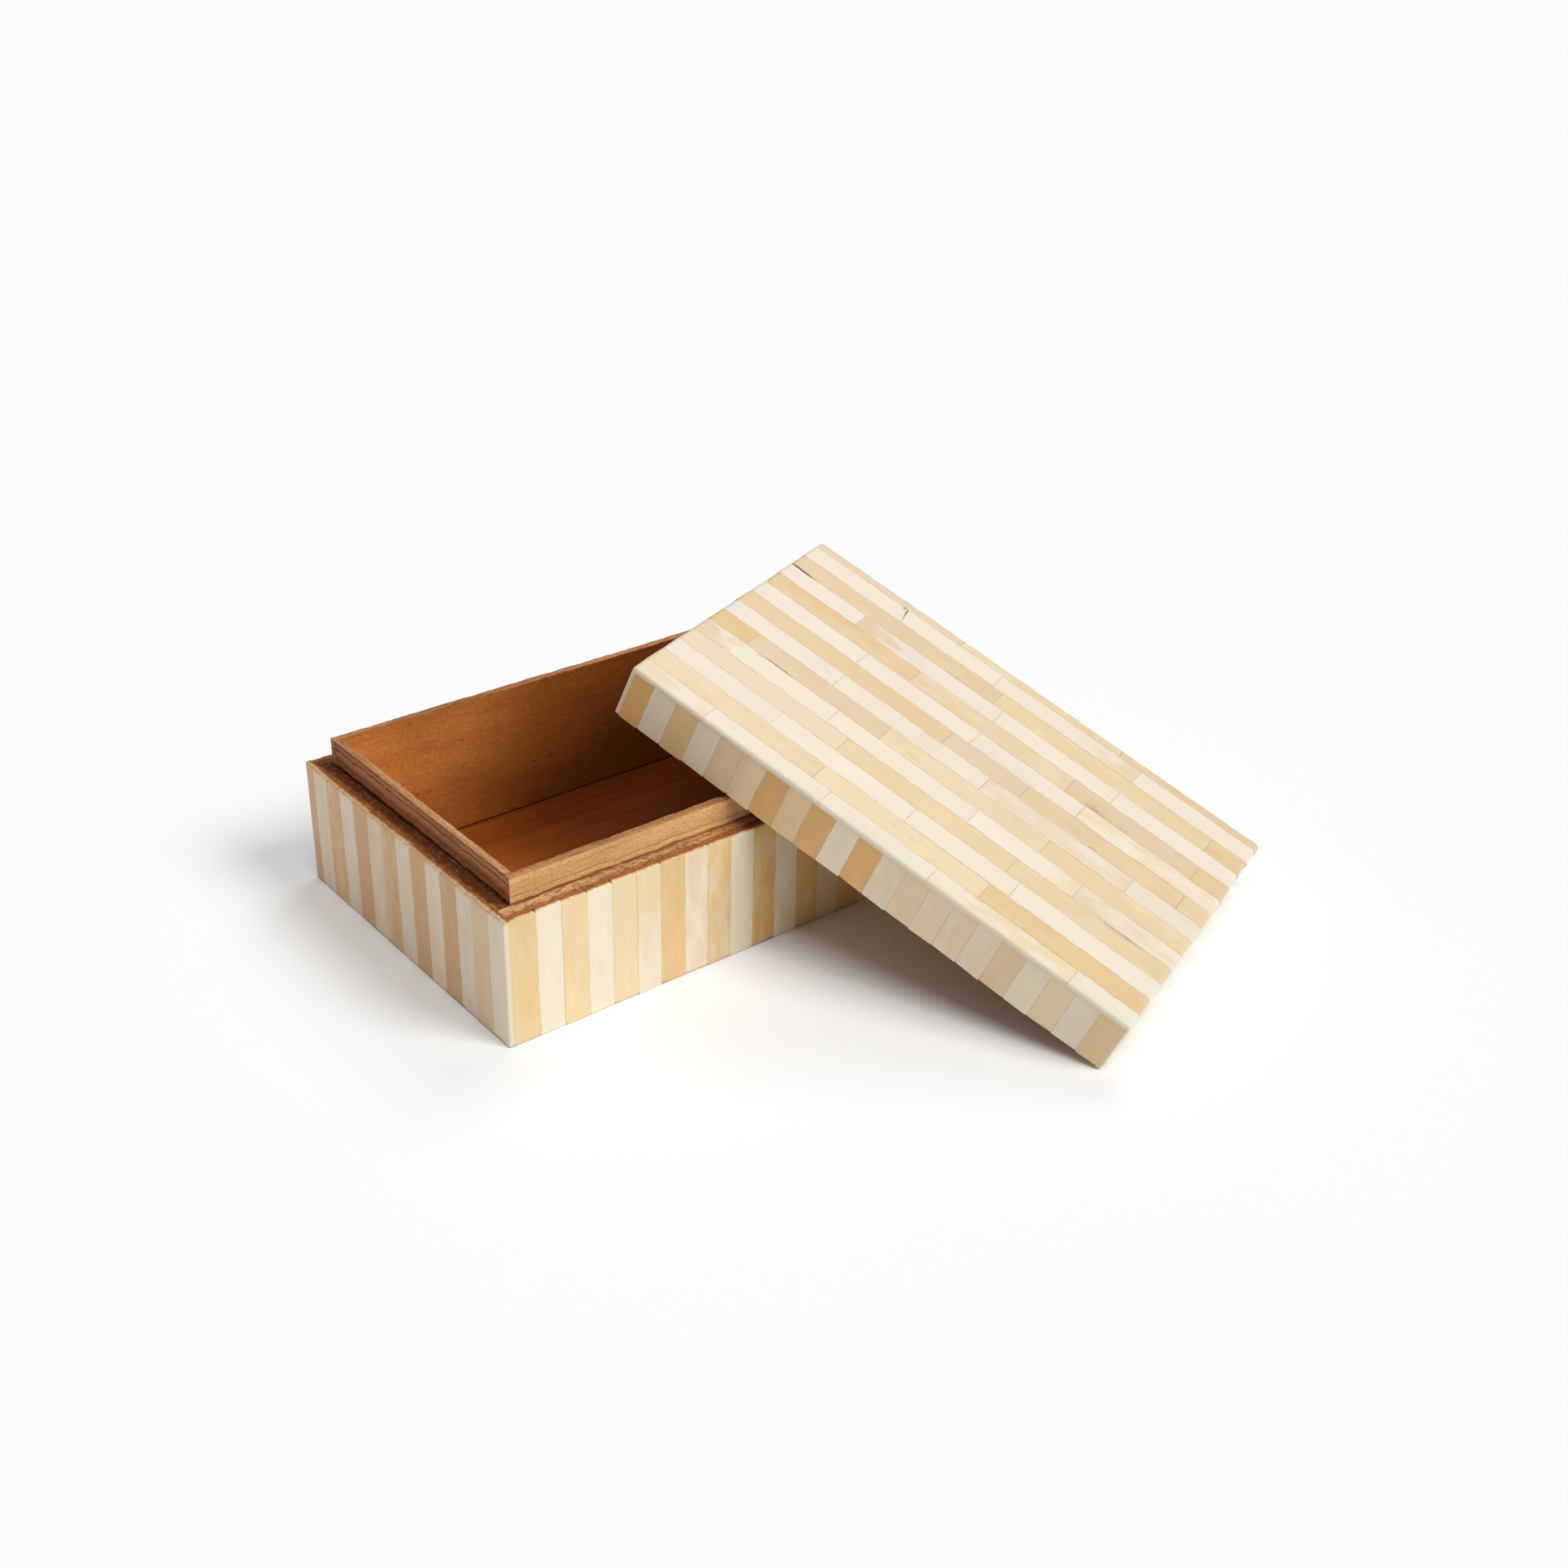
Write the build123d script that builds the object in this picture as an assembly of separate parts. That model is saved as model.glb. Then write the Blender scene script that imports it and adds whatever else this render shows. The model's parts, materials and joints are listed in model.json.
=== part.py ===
from build123d import *
import math
import os

# A bone-striped wooden box and its lift-off lid, which leans on the open box.
# Millimetres.  Origin: centre of the underside of the box.  +X along the long side of the box,
# -Y out of its front, +Z up.

os.makedirs("parts", exist_ok=True)

# Outside of the box
LENGTH = 200.0
WIDTH = 132.0
BASE_HEIGHT = 48.0
LIP_HEIGHT = 10.0
LID_HEIGHT = 21.5

# Stock thicknesses
BONE = 2.2
BASE_BOARD = 5.0
FLOOR_BOARD = 5.7
LINER_BOARD = 3.0
LID_RAIL = 4.5
LID_PANEL = 5.7

# Bone strips: widths of the strips cut down to fit at the two ends of a run
LONG_STRIPS = 21
SHORT_STRIPS = 14
BASE_LONG_ENDS = (9.6, 3.6)
LID_LONG_ENDS = (8.0, 8.0)
SHORT_ENDS = (5.8, 9.7)
RESIN = 0.15

# Courses on top of the lid, from the back edge to the front edge, and their butt joints,
# measured along each course from the left end of the lid
COURSE_ENDS = (5.6, 8.2)
COURSE_JOINTS = (
    (68, 140),
    (45, 88, 150),
    (93, 185),
    (36, 98, 149),
    (66, 134, 187),
    (48, 98, 143),
    (91, 124, 189),
    (49, 112, 172),
    (17, 75, 142),
    (58, 117, 160),
    (68, 138),
    (46, 102, 144),
    (70, 137),
    (30, 78, 121, 176),
)

# Softened edges
BONE_EASE = 0.3
CORNER_ROUND = 1.0
LIP_ROUND = 0.5
RAIL_EASE = 0.4

# How the lid leans: its left end rides high over the box, its right end stands on the ground
LEAN_TILT = 23.04
LEAN_YAW = -68.43
LEAN_CLEARANCE = 0.2

# Sizes that follow
CARCASS_LENGTH = LENGTH - 2 * BONE
CARCASS_WIDTH = WIDTH - 2 * BONE
LEDGE = BONE + BASE_BOARD
LINER_LENGTH = LENGTH - 2 * LEDGE
LINER_WIDTH = WIDTH - 2 * LEDGE
LIP_TOP = BASE_HEIGHT + LIP_HEIGHT
LID_SIDE = LID_HEIGHT - BONE
LID_DEPTH = LID_SIDE - LID_PANEL
TONES = ("honey", "cream")
TOUCH = 0.001


def block(x, y, z):
    """A box between three (low, high) pairs."""
    spans = (x, y, z)
    size = [high - low for low, high in spans]
    middle = [(low + high) / 2 for low, high in spans]
    return Pos(*middle) * Box(*size)


def around(half):
    """The pair that reaches `half` to each side of zero."""
    return (-half, half)


def lid_lean():
    """The placement of the leaning lid, from the three places where it is held up.

    Its short axis is level and its right end stands on the ground.  Its panel comes down on the
    right front corner of the lip, and its front rail crosses the front of the lip.
    """
    tilt = math.radians(LEAN_TILT)
    yaw = math.radians(LEAN_YAW)
    along = Vector(math.cos(yaw), math.sin(yaw), 0)
    across = Vector(-math.sin(yaw), math.cos(yaw), 0)
    long_axis = along * math.cos(tilt) - Vector(0, 0, math.sin(tilt))
    upward = along * math.sin(tilt) + Vector(0, 0, math.cos(tilt))

    lip_corner = Vector(LINER_LENGTH / 2, -LINER_WIDTH / 2, LIP_TOP)
    crossing_x = lip_corner.X - LID_DEPTH / upward.X
    crossing = Vector(crossing_x, lip_corner.Y, LIP_TOP)

    height = LENGTH / 2 * math.sin(tilt)
    rise = lip_corner.dot(upward) - LID_DEPTH + LEAN_CLEARANCE
    ahead = (rise - height * math.cos(tilt)) / math.sin(tilt)
    aside = crossing.dot(across) + WIDTH / 2 - BONE - LID_RAIL
    centre = along * ahead + across * aside + Vector(0, 0, height)
    return Plane(origin=centre, x_dir=long_axis, z_dir=upward).location


def cuts(run, count, ends):
    """Where `count` strips start and stop along a run, its end strips having given widths."""
    first, last = ends
    step = (run - first - last) / (count - 2)
    widths = [first] + [step] * (count - 2) + [last]
    starts = [-run / 2 + sum(widths[:index]) for index in range(count)]
    return [(start, start + width) for start, width in zip(starts, widths)]


def upright_strip(x, reach, z, rounded_end):
    """One upright bone strip whose outer face looks along -Y, `reach` from the middle.

    `rounded_end` is -1 or 1 when that end of the strip makes a corner of the box, else 0.
    """
    strip = block(x, (-reach, -reach + BONE), z)
    outer = strip.faces().sort_by(Axis.Y)[0].edges()
    uprights = outer.filter_by(Axis.Z).sort_by(Axis.X)
    if rounded_end == 0:
        return fillet(outer, BONE_EASE)
    corner = uprights[0] if rounded_end < 0 else uprights[-1]
    strip = fillet(corner, CORNER_ROUND)
    far = strip.edges().filter_by(Axis.Z).group_by(Axis.Y)[0].sort_by(Axis.X)
    return fillet(far[-1] if rounded_end < 0 else far[0], BONE_EASE)


def side_strips(spans, reach, z, makes_corners):
    """The strips of one side, sorted by tone, with the side facing -Y."""
    rows = {tone: [] for tone in TONES}
    for index, (low, high) in enumerate(spans):
        low_gap = 0 if index == 0 else RESIN / 2
        high_gap = 0 if index == len(spans) - 1 else RESIN / 2
        rounded_end = 0
        if makes_corners and index == 0:
            rounded_end = -1
        if makes_corners and index == len(spans) - 1:
            rounded_end = 1
        tone = TONES[index % 2]
        rows[tone].append(upright_strip((low + low_gap, high - high_gap), reach, z, rounded_end))
    return rows


def is_outer_corner(edge):
    """True for an edge where two outer faces of the lid meet, top face included."""
    middle = edge.center()
    on_end = math.isclose(abs(middle.X), LENGTH / 2, abs_tol=TOUCH)
    on_side = math.isclose(abs(middle.Y), WIDTH / 2, abs_tol=TOUCH)
    on_top = math.isclose(middle.Z, LID_HEIGHT, abs_tol=TOUCH)
    return on_end + on_side + on_top >= 2


def course_strips(index, span):
    """The bone strips of one course on top of the lid, joined end to end along X."""
    half_gap = RESIN / 2
    is_front = index == len(COURSE_JOINTS) - 1
    front = span[0] if is_front else span[0] + half_gap
    back = span[1] if index == 0 else span[1] - half_gap
    joints = [joint - LENGTH / 2 for joint in COURSE_JOINTS[index]]
    starts = [-LENGTH / 2] + [joint + half_gap for joint in joints]
    ends = [joint - half_gap for joint in joints] + [LENGTH / 2]
    strips = []
    for start, end in zip(starts, ends):
        strip = block((start, end), (front, back), (LID_SIDE, LID_HEIGHT))
        corners = strip.edges().filter_by(is_outer_corner)
        if corners:
            strips.append(fillet(corners, CORNER_ROUND))
        else:
            strips.append(fillet(strip.faces().sort_by(Axis.Z)[-1].edges(), BONE_EASE))
    return strips


def wood_frame(length, width, thickness, z, round_top):
    """Four boards round a rectangle: front and back run through, left and right fit between."""
    boards = {}
    for name, sign in (("front", -1), ("back", 1)):
        faces = sorted((sign * width / 2, sign * (width / 2 - thickness)))
        boards[name] = block(around(length / 2), faces, z)
    for name, sign in (("left", -1), ("right", 1)):
        faces = sorted((sign * length / 2, sign * (length / 2 - thickness)))
        boards[name] = block(faces, around(width / 2 - thickness), z)
    if round_top:
        for name, axis in (("front", Axis.X), ("back", Axis.X), ("left", Axis.Y), ("right", Axis.Y)):
            arrises = boards[name].faces().sort_by(Axis.Z)[-1].edges().filter_by(axis)
            boards[name] = fillet(arrises, round_top)
    return boards


def add_sides(solids, prefix, z, long_ends, placement):
    """All four striped sides of the box or of the lid, one entry for each tone of each side."""
    long_spans = cuts(CARCASS_LENGTH, LONG_STRIPS, long_ends)
    short_spans = cuts(WIDTH, SHORT_STRIPS, SHORT_ENDS)
    sides = (
        ("front", 0, long_spans, WIDTH / 2, False),
        ("right", 90, short_spans, LENGTH / 2, True),
        ("back", 180, long_spans, WIDTH / 2, False),
        ("left", -90, short_spans, LENGTH / 2, True),
    )
    for side, turn, spans, reach, makes_corners in sides:
        rows = side_strips(spans, reach, z, makes_corners)
        for tone, strips in rows.items():
            place = placement * Rot(0, 0, turn)
            solids[f"{prefix}_{side}_{tone}"] = [place * strip for strip in strips]


solids = {}
upright = Location()
leaning = lid_lean()

# The box: a board carcass, a thinner liner that stands proud as a lip, and the bone sides
walls = wood_frame(CARCASS_LENGTH, CARCASS_WIDTH, BASE_BOARD, (0, BASE_HEIGHT), 0)
liners = wood_frame(LINER_LENGTH, LINER_WIDTH, LINER_BOARD, (FLOOR_BOARD, LIP_TOP), LIP_ROUND)
for side in walls:
    solids[f"base_wall_{side}"] = [walls[side]]
    solids[f"liner_{side}"] = [liners[side]]
floor_block = block(around(LINER_LENGTH / 2), around(LINER_WIDTH / 2), (0, FLOOR_BOARD))
solids["base_floor"] = [floor_block]
add_sides(solids, "base_bone", (0, BASE_HEIGHT), BASE_LONG_ENDS, upright)

# The lid: rails under a panel, bone sides, and bone courses that cover the tops of the sides
rails = wood_frame(CARCASS_LENGTH, CARCASS_WIDTH, LID_RAIL, (0, LID_DEPTH), 0)
for side, rail in rails.items():
    inner_axis = Axis.X if side in ("front", "back") else Axis.Y
    across_axis = Axis.Y if side in ("front", "back") else Axis.X
    foot = rail.faces().sort_by(Axis.Z)[0].edges().filter_by(inner_axis).sort_by(across_axis)
    inner_edge = foot[-1] if side in ("front", "left") else foot[0]
    solids[f"lid_rail_{side}"] = [leaning * fillet(inner_edge, RAIL_EASE)]
panel_z = (LID_DEPTH, LID_SIDE)
panel = block(around(CARCASS_LENGTH / 2), around(CARCASS_WIDTH / 2), panel_z)
solids["lid_panel"] = [leaning * panel]
add_sides(solids, "lid_bone", (0, LID_SIDE), LID_LONG_ENDS, leaning)
front_first = cuts(WIDTH, len(COURSE_JOINTS), COURSE_ENDS[::-1])
for index, span in enumerate(reversed(front_first)):
    strips = course_strips(index, span)
    tone = TONES[index % 2]
    solids[f"lid_course_{index + 1:02d}_{tone}"] = [leaning * strip for strip in strips]

for name, pieces in solids.items():
    shape = pieces[0] if len(pieces) == 1 else Compound(children=pieces)
    shape.label = name
    export_step(shape, f"parts/{name}.step")
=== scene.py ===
import json
import math
from collections import namedtuple
from random import Random

import bpy
import numpy as np
from mathutils import Matrix, Vector, noise

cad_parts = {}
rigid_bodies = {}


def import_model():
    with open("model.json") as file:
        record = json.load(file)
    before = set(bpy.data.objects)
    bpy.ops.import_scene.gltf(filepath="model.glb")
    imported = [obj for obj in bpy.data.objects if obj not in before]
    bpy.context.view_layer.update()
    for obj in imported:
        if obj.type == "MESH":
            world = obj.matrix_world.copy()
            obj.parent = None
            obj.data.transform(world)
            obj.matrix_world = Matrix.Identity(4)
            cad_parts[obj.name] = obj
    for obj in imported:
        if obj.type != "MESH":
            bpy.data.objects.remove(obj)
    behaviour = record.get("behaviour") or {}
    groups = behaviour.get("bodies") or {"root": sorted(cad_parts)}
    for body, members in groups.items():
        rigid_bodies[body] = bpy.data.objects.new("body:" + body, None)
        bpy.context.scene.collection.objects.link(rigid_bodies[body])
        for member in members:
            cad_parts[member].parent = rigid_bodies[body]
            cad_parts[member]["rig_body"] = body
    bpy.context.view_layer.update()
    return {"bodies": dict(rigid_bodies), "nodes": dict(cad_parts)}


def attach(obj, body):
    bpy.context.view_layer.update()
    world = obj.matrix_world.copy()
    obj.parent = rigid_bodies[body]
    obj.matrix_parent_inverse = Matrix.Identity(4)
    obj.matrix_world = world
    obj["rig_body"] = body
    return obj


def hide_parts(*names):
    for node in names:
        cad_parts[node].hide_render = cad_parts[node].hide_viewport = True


# Looks of a bone-striped wooden box and its leaning lid.
# Every CAD solid becomes one hand-cut strip or board: its place and size are read from the frame,
# in the millimetres of its own body, and its worn outline, colour and grain are made here.

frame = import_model()

MM = 0.001
TURN = 2 * math.pi
WELD = 1e-6
SHARP_ANGLE = math.radians(35)

# Gaps between neighbouring bone strips, in millimetres: in the CAD model, and as shown here
CAD_GAP = 0.15
SHOWN_GAP = 0.02

# Rounded edges of the strips: where strips meet, at the corners of the object, round the top of
# the lid, at the foot of a side and at its head. The top of the lid stands out over its sides by
# the bead.
SEAM_EASE = 0.05
EDGE_EASE = 1.0
COURSE_EASE = 1.5
FOOT_EASE = 0.3
HEAD_EASE = {"front": 0.5, "back": 0.95, "left": 0.95, "right": 0.95}
BEAD = {"lid": 0.25, "base": 0.0}

# How far seams wander on the sides and on top of the lid, and the lid's front and back edges
SIDE_WANDER = 0.26
COURSE_WANDER = 0.42
LID_EDGE_WANDER = {-1: 0.16, 1: 0.34}

# Wavelengths of the wandering lines
SEAM_WAVES = (5.5, 11, 30)
EDGE_WAVES = (6, 10, 23)
JOINT_WAVES = (2.1, 4.3)
NICK_WAVES = (1.1, 2.3, 4.0)

# How roughly the ends of strips are cut: the ranges of their inset and of the radii of their two
# corners, how far off square they are at most, and the size of their nicks
LID_FOOT = {"inset": (0, 0.45), "corners": [(0.1, 1.0)] * 2, "slope": 0.5, "nicks": 0.08}
BASE_FOOT = {"inset": (0, 0.4), "corners": [(0.1, 1.0)] * 2, "slope": 0.4, "nicks": 0.06}
BASE_HEAD = {"inset": (0, 0.4), "corners": [(0.1, 0.8)] * 2, "slope": 0.25, "nicks": 0.16}
COURSE_END = {"inset": (0.02, 0.3), "slope": 0.25}
COURSE_CORNER = (0.05, 0.2)
LID_CORNER = (EDGE_EASE, 1.3)

# How far strips sink below their neighbours at most
SIDE_SINK = 0.08
COURSE_SINK = 0.06

# How far the brown of a seam reaches in, and how strong it is on the sides of the object
SEAM_REACH = 0.3
SIDE_SEAM = 0.5

# Where meshes are cut: the steps along and across a strip, the cuts beside its edges, and the
# least distance between cuts. Seam lines are known this far to both sides of a body's middle.
STATION = 2.0
ACROSS = 2.4
UPRIGHT_ACROSS = 6.0
NEAR_EDGE = 0.4
CLEAR = 0.12
LONGEST = 120.0

# How much further the corner of a strip falls than its rounded edges do
CORNER_FALL = 1.15

# Tones of bone, as reflected light (linear)
PALETTE = {
    "cream": (0.825, 0.755, 0.615),
    "pearl": (0.80, 0.72, 0.60),
    "ivory": (0.80, 0.65, 0.465),
    "honey": (0.79, 0.605, 0.365),
    "deep": (0.775, 0.555, 0.28),
    "tan": (0.75, 0.56, 0.335),
    "blush": (0.755, 0.595, 0.415),
    "sand": (0.81, 0.665, 0.43),
    "amber": (0.745, 0.515, 0.25),
    "toffee": (0.66, 0.405, 0.18),
    "caramel": (0.73, 0.435, 0.165),
}
# Painted light on each face of the object: how it shifts these tones, by its share of red, green and
# blue. The front is lighter and the top darker for how the light falls on them, and the sides are
# warmer for the warm light that bounces onto them
FACE_PAINTED_LIGHT = {
    "top": (0.97, 0.96, 0.945),
    "front": (1.07, 1.04, 0.955),
    "left": (1.03, 0.985, 0.925),
    "back": (1.03, 1.005, 0.955),
    "right": (1.03, 1.005, 0.955),
}
NEAR_TONE = {
    "cream": "pearl",
    "pearl": "cream",
    "ivory": "pearl",
    "honey": "sand",
    "deep": "honey",
    "tan": "honey",
    "blush": "tan",
    "sand": "honey",
    "amber": "deep",
    "toffee": "amber",
    "caramel": "amber",
}

# How the second tone of a strip comes in from its start to its end: 0.5 is where it takes over
BLENDS = {
    "": (0.12, 0.12),
    "~": (0.5, 0.5),
    "|": (-0.6, 1.6),
    ">": (-2.2, 1.1),
    "<": (1.1, -2.2),
}

# Tones of the strips that show: a course's from its left end, a side's from the left as seen from
# outside. "a~b" is mottled, "a|b" changes half way, "a>b" ends in b and "a<b" starts with a.
COURSES = (
    "blush honey~sand honey~tan",
    "cream cream cream>sand cream",
    "honey~tan honey honey~deep",
    "pearl tan<pearl cream cream",
    "tan~amber sand~honey blush~tan tan~deep",
    "cream~pearl cream pearl cream~sand",
    "tan blush honey~tan honey",
    "cream~pearl cream~pearl cream~ivory cream",
    "amber blush~tan sand honey",
    "blush<cream cream cream>sand cream~ivory",
    "sand~ivory honey sand~honey",
    "pearl cream cream cream",
    "honey~sand sand deep",
    "pearl~ivory cream cream sand~cream cream",
)
SIDES = {
    ("lid", "front"): (
        "caramel cream deep pearl blush~tan ivory~blush caramel~toffee blush~tan toffee~caramel "
        "pearl caramel ivory~pearl ivory~sand ivory pearl~ivory ivory~pearl blush~tan pearl~cream "
        "sand~ivory pearl tan"
    ),
    ("base", "front"): (
        "honey~deep cream honey~sand cream sand cream|sand deep~amber cream~ivory sand~deep cream "
        "deep~caramel cream~sand caramel blush~tan caramel cream honey pearl sand~honey cream tan"
    ),
    ("base", "left"): (
        "toffee ivory~pearl toffee~amber pearl~ivory toffee ivory~blush toffee~tan ivory~pearl "
        "toffee ivory~pearl toffee pearl~ivory tan~blush cream"
    ),
}
HIDDEN_TONES = {
    "honey": ("honey", "tan", "sand~honey", "amber~honey", "blush~tan", "deep", "tan~honey"),
    "cream": ("cream", "cream~pearl", "pearl", "cream>sand", "cream", "ivory~cream"),
}

# A flaw in one of the lid's courses: its middle and reach along the course, its place across it
# from the front (0) to the back (1), the reach and strength of its stain, and how far it bites into
# the nearer edge
Flaw = namedtuple("Flaw", "course middle reach across spread strength bite")
FLAWS = (
    Flaw(3, 5.0, 6.5, 0.0, 0.35, 0.6, 0.36),
    Flaw(4, 5.0, 6.5, 1.0, 0.30, 0.7, 0.2),
    Flaw(9, 31.0, 6.5, 0.0, 0.25, 0.6, 0.22),
    Flaw(10, 24.0, 1.2, 0.9, 0.8, 0.5, 0.0),
    Flaw(10, 172.0, 0.8, 0.35, 0.5, 0.6, 0.0),
    Flaw(11, 181.0, 9.0, 0.95, 0.9, 0.30, 0.1),
    Flaw(5, 179.0, 3.0, 0.95, 0.5, 0.16, 0.0),
    Flaw(5, 147.0, 6.0, 0.1, 2.0, 0.3, 0.0),
    Flaw(5, 158.0, 4.0, 0.15, 1.5, 0.22, 0.0),
    Flaw(13, 101.0, 3.0, 0.6, 2.2, 0.16, 0.0),
    Flaw(13, 108.0, 1.6, 0.5, 2.4, 0.18, 0.0),
    Flaw(3, 76.0, 7.0, 0.1, 0.8, 0.22, 0.1),
    Flaw(7, 155.0, 3.0, 0.0, 0.8, 0.3, 0.0),
)

# Butt joints: how far off square they are at most, and how far they wander. One of them is
# cracked: its course and place, its slant, how far it gapes, and the reach and strength of its
# stain.
JOINT_SLOPE = 0.3
JOINT_WANDER = 0.06
CRACKED_COURSE = 2
CRACK_PLACE = 45.0
CRACK_SLANT = 1.9
CRACK_GAPE = 0.22
CRACK_REACH = 0.35
CRACK_STAIN = 0.75


# ---- where the CAD solids are


def points_of(node):
    """Every vertex of a CAD node, in metres."""
    vertices = frame["nodes"][node].data.vertices
    points = np.empty(len(vertices) * 3, np.float32)
    vertices.foreach_get("co", points)
    return points.reshape(-1, 3).astype(float)


def solids_of(node):
    """The vertices of each separate solid of a CAD node."""
    edges = frame["nodes"][node].data.edges
    pairs = np.empty(len(edges) * 2, np.int32)
    edges.foreach_get("vertices", pairs)
    points = points_of(node)
    keys, merged = np.unique(np.round(points / WELD), axis=0, return_inverse=True)
    merged = merged.ravel()
    start, end = merged[pairs.reshape(-1, 2)].T
    label = np.arange(len(keys))
    while True:
        lowest = np.minimum(label[start], label[end])
        spread = label.copy()
        np.minimum.at(spread, start, lowest)
        np.minimum.at(spread, end, lowest)
        spread = spread[spread]
        if np.array_equal(spread, label):
            break
        label = spread
    owner = label[merged]
    return [points[owner == one] for one in np.unique(owner)]


def lid_placement(nodes):
    """The leaning lid's own frame: +X towards its grounded end, +Z out of its top.

    Its origin is the middle of its open foot.
    """
    panel = np.unique(np.round(points_of("lid_panel") / WELD), axis=0) * WELD
    centre = panel.mean(axis=0)
    spread = panel - centre
    axes = np.linalg.eigh(spread.T @ spread)[1]
    along, up = axes[:, 2], axes[:, 0]
    along = along if along[2] < 0 else -along
    up = up if up[2] > 0 else -up
    foot = min((points_of(node) @ up).min() for node in nodes)
    origin = centre - up * (centre @ up - foot)
    return np.column_stack([along, np.cross(up, along), up]), origin


BODIES = {body: [] for body in frame["bodies"]}
for name, cad_object in sorted(frame["nodes"].items()):
    BODIES[cad_object["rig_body"]].append(name)
PLACES = {"base": (np.eye(3), np.zeros(3)), "lid": lid_placement(BODIES["lid"])}


def boxes_of(node, body):
    """The (lowest, highest) corners of a node's solids, in millimetres in their body's frame."""
    turn, origin = PLACES[body]
    local = [(points - origin) @ turn / MM for points in solids_of(node)]
    return [(points.min(axis=0), points.max(axis=0)) for points in local]


# ---- cutting strips and boards


class Facing:
    """The axes of a strip or board: along its grain, across it, and out of its best face."""

    def __init__(self, out, along):
        out, along = np.array(out, float), np.array(along, float)
        self.axes = np.column_stack([along, np.cross(out, along), out])

    def seat(self, box):
        """The start and the size of a box along these axes."""
        ends = np.array(box) @ self.axes
        return ends.min(axis=0), np.abs(ends[1] - ends[0])


# Which way each side of the box or lid looks, and the facings of its upright strips, of boards
# that show their tops and of rails that show their feet. `across` starts at the outer side of
# those boards and rails.
OUT = {"front": (0, -1), "back": (0, 1), "left": (-1, 0), "right": (1, 0)}
UPRIGHT = {side: Facing((x, y, 0), (0, 0, 1)) for side, (x, y) in OUT.items()}
RIM = {side: Facing((0, 0, 1), (-y, x, 0)) for side, (x, y) in OUT.items()}
FOOT = {side: Facing((0, 0, -1), (y, -x, 0)) for side, (x, y) in OUT.items()}
COURSE = Facing((0, 0, 1), (1, 0, 0))
UNDER = Facing((0, 0, -1), (1, 0, 0))


def wave(seed, amplitude, lengths):
    """A wandering line. The same seed always gives the same line."""
    random = Random(seed)
    parts = []
    for length in lengths:
        weight = random.uniform(0.5, 1.0) / len(lengths)
        parts.append((weight, length * random.uniform(0.8, 1.25), random.uniform(0, TURN)))

    def line(place):
        total = sum(weight * np.sin(TURN * place / size + phase) for weight, size, phase in parts)
        return amplitude * total

    return line


def straight(places):
    """A line that doesn't wander."""
    return 0.0 * places


STRAIGHT = (straight, straight)


def rough(points, size, seed):
    """Cloudy values from about -0.5 to 0.5 at points in millimetres, with lumps of that size."""
    shift = Random(seed).uniform(0, 500)
    return np.array([noise.noise(Vector(point / size) + Vector((shift, 0, 0))) for point in points])


def quarter(radius):
    """Stations across a quarter round of that radius."""
    steps = 1
    if radius > 0.1:
        steps = 2
    if radius >= 0.9:
        steps = 4
    return radius * (1 - np.cos(np.linspace(0, math.pi / 2, steps + 1)))


def fall(distance, radius):
    """How far a rounded edge has fallen at a distance in from it."""
    inside = radius - np.minimum(distance, radius)
    return radius - np.sqrt(np.maximum(radius**2 - inside**2, 0))


def stations(length, low, high, step, near, start=0.0):
    """Where a run is cut: on its two rounded ends, `near` them, and at whole steps between.

    The steps are counted from `start` before the run, so that strips side by side share them.
    """
    fixed = np.concatenate([quarter(low), length - quarter(high)])
    if near:
        fixed = np.append(fixed, [near, length - near])
    whole = np.arange(math.ceil(start / step), (start + length) / step) * step - start
    clear = [gap for gap in whole if np.abs(fixed - gap).min() > CLEAR and low < gap < length - high]
    return np.unique(np.round(np.append(fixed, clear), 4))


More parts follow.
